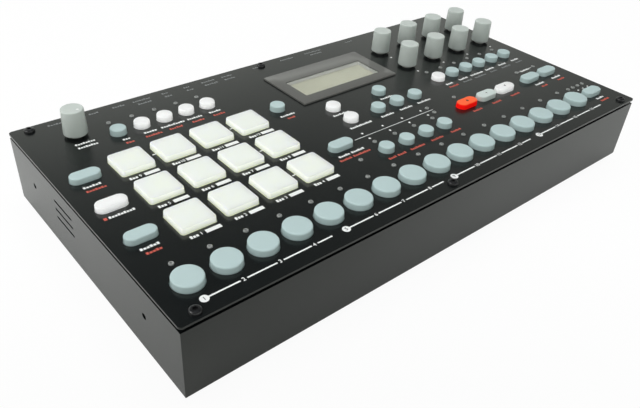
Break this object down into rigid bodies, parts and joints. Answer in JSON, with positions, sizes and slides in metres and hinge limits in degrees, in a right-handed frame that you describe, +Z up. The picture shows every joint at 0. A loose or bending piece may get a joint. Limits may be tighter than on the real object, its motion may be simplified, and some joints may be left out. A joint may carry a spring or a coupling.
{
  "type": "drum machine",
  "caption": "Desktop drum machine: black steel case with step keys, square pads, round and oval keys, turning knobs, a small display and rear audio sockets.",
  "frame": {"origin": "on the table under the middle of the whole object's box", "axes": "+X to the right along the front edge, +Y to the rear, +Z up"},
  "size_m": [0.34, 0.1792, 0.0631],
  "materials": {
    "black_steel": "fine satin black powder coat",
    "grey_key": "satin blue-grey moulding",
    "white_key": "satin white moulding",
    "red_key": "satin orange-red moulding",
    "pad_rubber": "matte translucent silicone",
    "cover_sheet": "glossy grey cover sheet",
    "display_cell": "olive grey picture cell",
    "board": "green solder mask",
    "black_plastic": "satin black",
    "lamp_lens": "clear grey lens",
    "black_screw": "black oxide",
    "foot_rubber": "matte black",
    "nickel": "bright nickel"
  },
  "bodies": {
    "case": {"chassis": "black_steel", "top_plate": "black_steel", "display_cover": "cover_sheet", "display_module": "display_cell", "panel_board": "board", "main_board": "board", "key_switches": "black_plastic", "encoders": "black_plastic", "lamp_lenses": "lamp_lens", "screws": "black_screw", "rubber_feet": "foot_rubber", "jack_sockets": "nickel", "rear_sockets": "black_plastic"},
    "volume_knob": {"volume_knob": "grey_key"},
    "data_knob_1": {"data_knob_1": "grey_key"},
    "data_knob_2": {"data_knob_2": "grey_key"},
    "data_knob_3": {"data_knob_3": "grey_key"},
    "data_knob_4": {"data_knob_4": "grey_key"},
    "data_knob_5": {"data_knob_5": "grey_key"},
    "data_knob_6": {"data_knob_6": "grey_key"},
    "data_knob_7": {"data_knob_7": "grey_key"},
    "data_knob_8": {"data_knob_8": "grey_key"},
    "pads": {"pads": "pad_rubber"},
    "power_button": {"power_button": "black_plastic"},
    "track_key": {"track_key": "grey_key"},
    "function_key": {"function_key": "white_key"},
    "retrigger_key": {"retrigger_key": "grey_key"},
    "bank_key": {"bank_key": "grey_key"},
    "record_key": {"record_key": "red_key"},
    "play_key": {"play_key": "grey_key"},
    "stop_key": {"stop_key": "white_key"},
    "song_key": {"song_key": "grey_key"},
    "chain_key": {"chain_key": "grey_key"},
    "page_key": {"page_key": "grey_key"},
    "tempo_key": {"tempo_key": "grey_key"},
    "yes_key": {"yes_key": "white_key"},
    "no_key": {"no_key": "white_key"},
    "up_key": {"up_key": "grey_key"},
    "left_key": {"left_key": "grey_key"},
    "down_key": {"down_key": "grey_key"},
    "right_key": {"right_key": "grey_key"},
    "mode_keys": {"mode_keys": "white_key"},
    "scale_keys": {"scale_keys": "grey_key"},
    "page_select_keys": {"page_select_keys": "grey_key"},
    "step_key_1": {"step_key_1": "grey_key"},
    "step_key_2": {"step_key_2": "grey_key"},
    "step_key_3": {"step_key_3": "grey_key"},
    "step_key_4": {"step_key_4": "grey_key"},
    "step_key_5": {"step_key_5": "grey_key"},
    "step_key_6": {"step_key_6": "grey_key"},
    "step_key_7": {"step_key_7": "grey_key"},
    "step_key_8": {"step_key_8": "grey_key"},
    "step_key_9": {"step_key_9": "grey_key"},
    "step_key_10": {"step_key_10": "grey_key"},
    "step_key_11": {"step_key_11": "grey_key"},
    "step_key_12": {"step_key_12": "grey_key"},
    "step_key_13": {"step_key_13": "grey_key"},
    "step_key_14": {"step_key_14": "grey_key"},
    "step_key_15": {"step_key_15": "grey_key"},
    "step_key_16": {"step_key_16": "grey_key"}
  },
  "joints": [
    {"name": "volume_knob_turn", "type": "hinge", "parent": "case", "child": "volume_knob", "pos_m": [-0.1418, 0.0646, 0.047], "axis": [0, 0, 1], "range_deg": [-150, 150]},
    {"name": "data_knob_1_turn", "type": "hinge", "parent": "case", "child": "data_knob_1", "pos_m": [0.078, 0.0555, 0.047], "axis": [0, 0, 1], "continuous": true},
    {"name": "data_knob_2_turn", "type": "hinge", "parent": "case", "child": "data_knob_2", "pos_m": [0.1042, 0.0555, 0.047], "axis": [0, 0, 1], "continuous": true},
    {"name": "data_knob_3_turn", "type": "hinge", "parent": "case", "child": "data_knob_3", "pos_m": [0.1304, 0.0555, 0.047], "axis": [0, 0, 1], "continuous": true},
    {"name": "data_knob_4_turn", "type": "hinge", "parent": "case", "child": "data_knob_4", "pos_m": [0.1566, 0.0555, 0.047], "axis": [0, 0, 1], "continuous": true},
    {"name": "data_knob_5_turn", "type": "hinge", "parent": "case", "child": "data_knob_5", "pos_m": [0.078, 0.0292, 0.047], "axis": [0, 0, 1], "continuous": true},
    {"name": "data_knob_6_turn", "type": "hinge", "parent": "case", "child": "data_knob_6", "pos_m": [0.1042, 0.0292, 0.047], "axis": [0, 0, 1], "continuous": true},
    {"name": "data_knob_7_turn", "type": "hinge", "parent": "case", "child": "data_knob_7", "pos_m": [0.1304, 0.0292, 0.047], "axis": [0, 0, 1], "continuous": true},
    {"name": "data_knob_8_turn", "type": "hinge", "parent": "case", "child": "data_knob_8", "pos_m": [0.1566, 0.0292, 0.047], "axis": [0, 0, 1], "continuous": true},
    {"name": "pads_press", "type": "slide", "parent": "case", "child": "pads", "axis": [0, 0, -1], "range_m": [0, 0.0005], "stiffness_N_per_m": 4000},
    {"name": "power_button_press", "type": "slide", "parent": "case", "child": "power_button", "axis": [0, -1, 0], "range_m": [0, 0.002], "stiffness_N_per_m": 1200},
    {"name": "track_key_press", "type": "slide", "parent": "case", "child": "track_key", "axis": [0, 0, -1], "range_m": [0, 0.001], "stiffness_N_per_m": 1500},
    {"name": "function_key_press", "type": "slide", "parent": "case", "child": "function_key", "axis": [0, 0, -1], "range_m": [0, 0.001], "stiffness_N_per_m": 1500},
    {"name": "retrigger_key_press", "type": "slide", "parent": "case", "child": "retrigger_key", "axis": [0, 0, -1], "range_m": [0, 0.001], "stiffness_N_per_m": 1500},
    {"name": "bank_key_press", "type": "slide", "parent": "case", "child": "bank_key", "axis": [0, 0, -1], "range_m": [0, 0.001], "stiffness_N_per_m": 1500},
    {"name": "record_key_press", "type": "slide", "parent": "case", "child": "record_key", "axis": [0, 0, -1], "range_m": [0, 0.001], "stiffness_N_per_m": 1500},
    {"name": "play_key_press", "type": "slide", "parent": "case", "child": "play_key", "axis": [0, 0, -1], "range_m": [0, 0.001], "stiffness_N_per_m": 1500},
    {"name": "stop_key_press", "type": "slide", "parent": "case", "child": "stop_key", "axis": [0, 0, -1], "range_m": [0, 0.001], "stiffness_N_per_m": 1500},
    {"name": "song_key_press", "type": "slide", "parent": "case", "child": "song_key", "axis": [0, 0, -1], "range_m": [0, 0.001], "stiffness_N_per_m": 1500},
    {"name": "chain_key_press", "type": "slide", "parent": "case", "child": "chain_key", "axis": [0, 0, -1], "range_m": [0, 0.001], "stiffness_N_per_m": 1500},
    {"name": "page_key_press", "type": "slide", "parent": "case", "child": "page_key", "axis": [0, 0, -1], "range_m": [0, 0.001], "stiffness_N_per_m": 1500},
    {"name": "tempo_key_press", "type": "slide", "parent": "case", "child": "tempo_key", "axis": [0, 0, -1], "range_m": [0, 0.001], "stiffness_N_per_m": 1500},
    {"name": "yes_key_press", "type": "slide", "parent": "case", "child": "yes_key", "axis": [0, 0, -1], "range_m": [0, 0.001], "stiffness_N_per_m": 1500},
    {"name": "no_key_press", "type": "slide", "parent": "case", "child": "no_key", "axis": [0, 0, -1], "range_m": [0, 0.001], "stiffness_N_per_m": 1500},
    {"name": "up_key_press", "type": "slide", "parent": "case", "child": "up_key", "axis": [0, 0, -1], "range_m": [0, 0.001], "stiffness_N_per_m": 1500},
    {"name": "left_key_press", "type": "slide", "parent": "case", "child": "left_key", "axis": [0, 0, -1], "range_m": [0, 0.001], "stiffness_N_per_m": 1500},
    {"name": "down_key_press", "type": "slide", "parent": "case", "child": "down_key", "axis": [0, 0, -1], "range_m": [0, 0.001], "stiffness_N_per_m": 1500},
    {"name": "right_key_press", "type": "slide", "parent": "case", "child": "right_key", "axis": [0, 0, -1], "range_m": [0, 0.001], "stiffness_N_per_m": 1500},
    {"name": "mode_keys_press", "type": "slide", "parent": "case", "child": "mode_keys", "axis": [0, 0, -1], "range_m": [0, 0.001], "stiffness_N_per_m": 4000},
    {"name": "scale_keys_press", "type": "slide", "parent": "case", "child": "scale_keys", "axis": [0, 0, -1], "range_m": [0, 0.001], "stiffness_N_per_m": 4000},
    {"name": "page_select_keys_press", "type": "slide", "parent": "case", "child": "page_select_keys", "axis": [0, 0, -1], "range_m": [0, 0.001], "stiffness_N_per_m": 4000},
    {"name": "step_key_1_press", "type": "slide", "parent": "case", "child": "step_key_1", "axis": [0, 0, -1], "range_m": [0, 0.001], "stiffness_N_per_m": 1500},
    {"name": "step_key_2_press", "type": "slide", "parent": "case", "child": "step_key_2", "axis": [0, 0, -1], "range_m": [0, 0.001], "stiffness_N_per_m": 1500},
    {"name": "step_key_3_press", "type": "slide", "parent": "case", "child": "step_key_3", "axis": [0, 0, -1], "range_m": [0, 0.001], "stiffness_N_per_m": 1500},
    {"name": "step_key_4_press", "type": "slide", "parent": "case", "child": "step_key_4", "axis": [0, 0, -1], "range_m": [0, 0.001], "stiffness_N_per_m": 1500},
    {"name": "step_key_5_press", "type": "slide", "parent": "case", "child": "step_key_5", "axis": [0, 0, -1], "range_m": [0, 0.001], "stiffness_N_per_m": 1500},
    {"name": "step_key_6_press", "type": "slide", "parent": "case", "child": "step_key_6", "axis": [0, 0, -1], "range_m": [0, 0.001], "stiffness_N_per_m": 1500},
    {"name": "step_key_7_press", "type": "slide", "parent": "case", "child": "step_key_7", "axis": [0, 0, -1], "range_m": [0, 0.001], "stiffness_N_per_m": 1500},
    {"name": "step_key_8_press", "type": "slide", "parent": "case", "child": "step_key_8", "axis": [0, 0, -1], "range_m": [0, 0.001], "stiffness_N_per_m": 1500},
    {"name": "step_key_9_press", "type": "slide", "parent": "case", "child": "step_key_9", "axis": [0, 0, -1], "range_m": [0, 0.001], "stiffness_N_per_m": 1500},
    {"name": "step_key_10_press", "type": "slide", "parent": "case", "child": "step_key_10", "axis": [0, 0, -1], "range_m": [0, 0.001], "stiffness_N_per_m": 1500},
    {"name": "step_key_11_press", "type": "slide", "parent": "case", "child": "step_key_11", "axis": [0, 0, -1], "range_m": [0, 0.001], "stiffness_N_per_m": 1500},
    {"name": "step_key_12_press", "type": "slide", "parent": "case", "child": "step_key_12", "axis": [0, 0, -1], "range_m": [0, 0.001], "stiffness_N_per_m": 1500},
    {"name": "step_key_13_press", "type": "slide", "parent": "case", "child": "step_key_13", "axis": [0, 0, -1], "range_m": [0, 0.001], "stiffness_N_per_m": 1500},
    {"name": "step_key_14_press", "type": "slide", "parent": "case", "child": "step_key_14", "axis": [0, 0, -1], "range_m": [0, 0.001], "stiffness_N_per_m": 1500},
    {"name": "step_key_15_press", "type": "slide", "parent": "case", "child": "step_key_15", "axis": [0, 0, -1], "range_m": [0, 0.001], "stiffness_N_per_m": 1500},
    {"name": "step_key_16_press", "type": "slide", "parent": "case", "child": "step_key_16", "axis": [0, 0, -1], "range_m": [0, 0.001], "stiffness_N_per_m": 1500}
  ]
}
